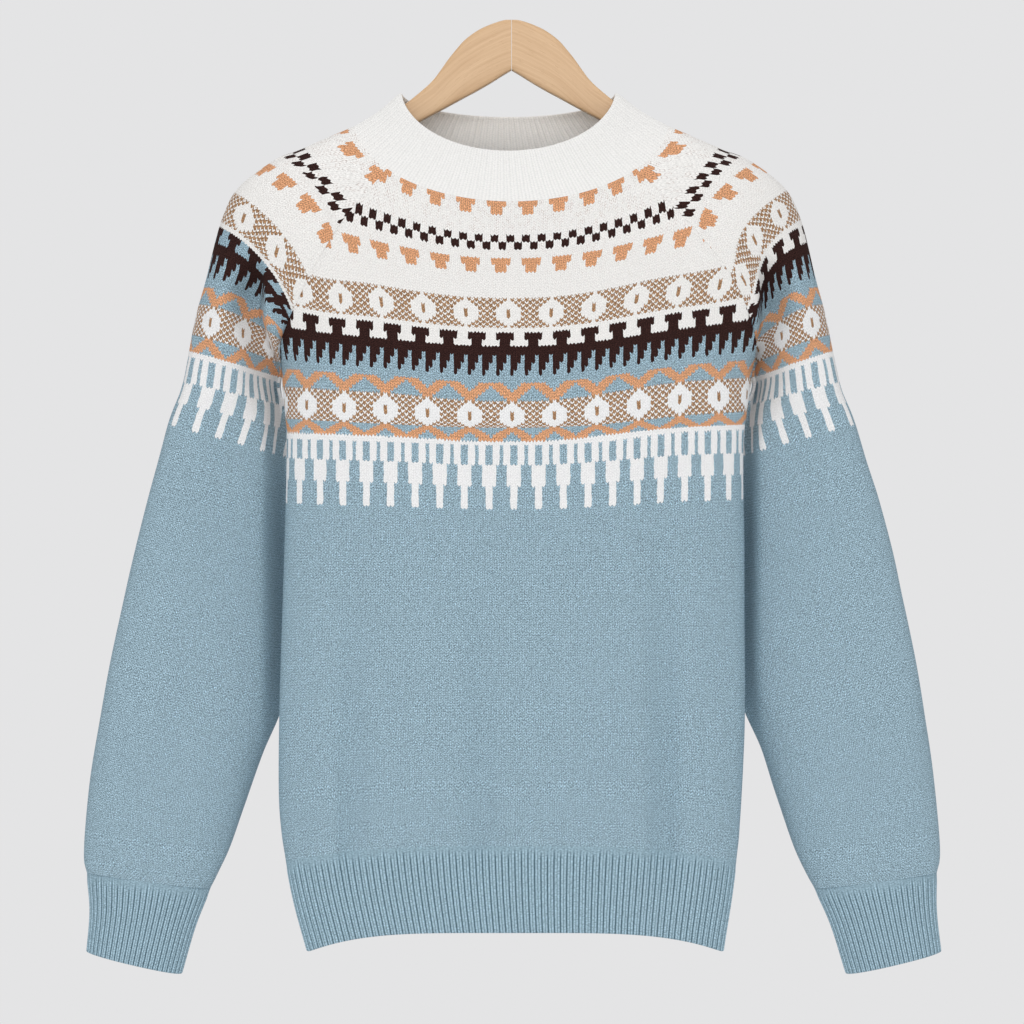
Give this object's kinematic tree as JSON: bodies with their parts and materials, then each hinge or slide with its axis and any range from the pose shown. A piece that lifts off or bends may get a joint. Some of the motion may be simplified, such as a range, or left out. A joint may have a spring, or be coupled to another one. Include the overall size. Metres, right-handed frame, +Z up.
{
  "type": "fair isle jumper on a wooden hanger",
  "caption": "Loose raglan jumper with a ribbed mock neck, a patterned round yoke and plain lower body, hanging on a flat wooden hanger without a hook.",
  "frame": {"origin": "top of the hanger's crown, midway through its depth, where a hook would stand or a rod would carry it", "axes": "+Z up; the jumper's front faces -Y, and +X is to the right as the front is looked at"},
  "size_m": [0.6894, 0.1199, 0.7637],
  "materials": {
    "panel_front": "matt knitted wool",
    "panel_back": "matt knitted wool",
    "sleeve_left": "matt knitted wool",
    "sleeve_right": "matt knitted wool",
    "neck_rib": "ivory ribbed wool",
    "hem_rib_front": "ribbed wool",
    "hem_rib_back": "ribbed wool",
    "cuff_left": "ribbed wool",
    "cuff_right": "ribbed wool",
    "hanger_arm_left": "pale oiled wood",
    "hanger_arm_right": "pale oiled wood"
  },
  "bodies": {
    "root": {"front": "panel_front", "back": "panel_back", "sleeve_left": "sleeve_left", "sleeve_right": "sleeve_right", "collar": "neck_rib", "hem_rib_front": "hem_rib_front", "hem_rib_back": "hem_rib_back", "cuff_left": "cuff_left", "cuff_right": "cuff_right", "hanger_arm_left": "hanger_arm_left", "hanger_arm_right": "hanger_arm_right"}
  },
  "joints": []
}
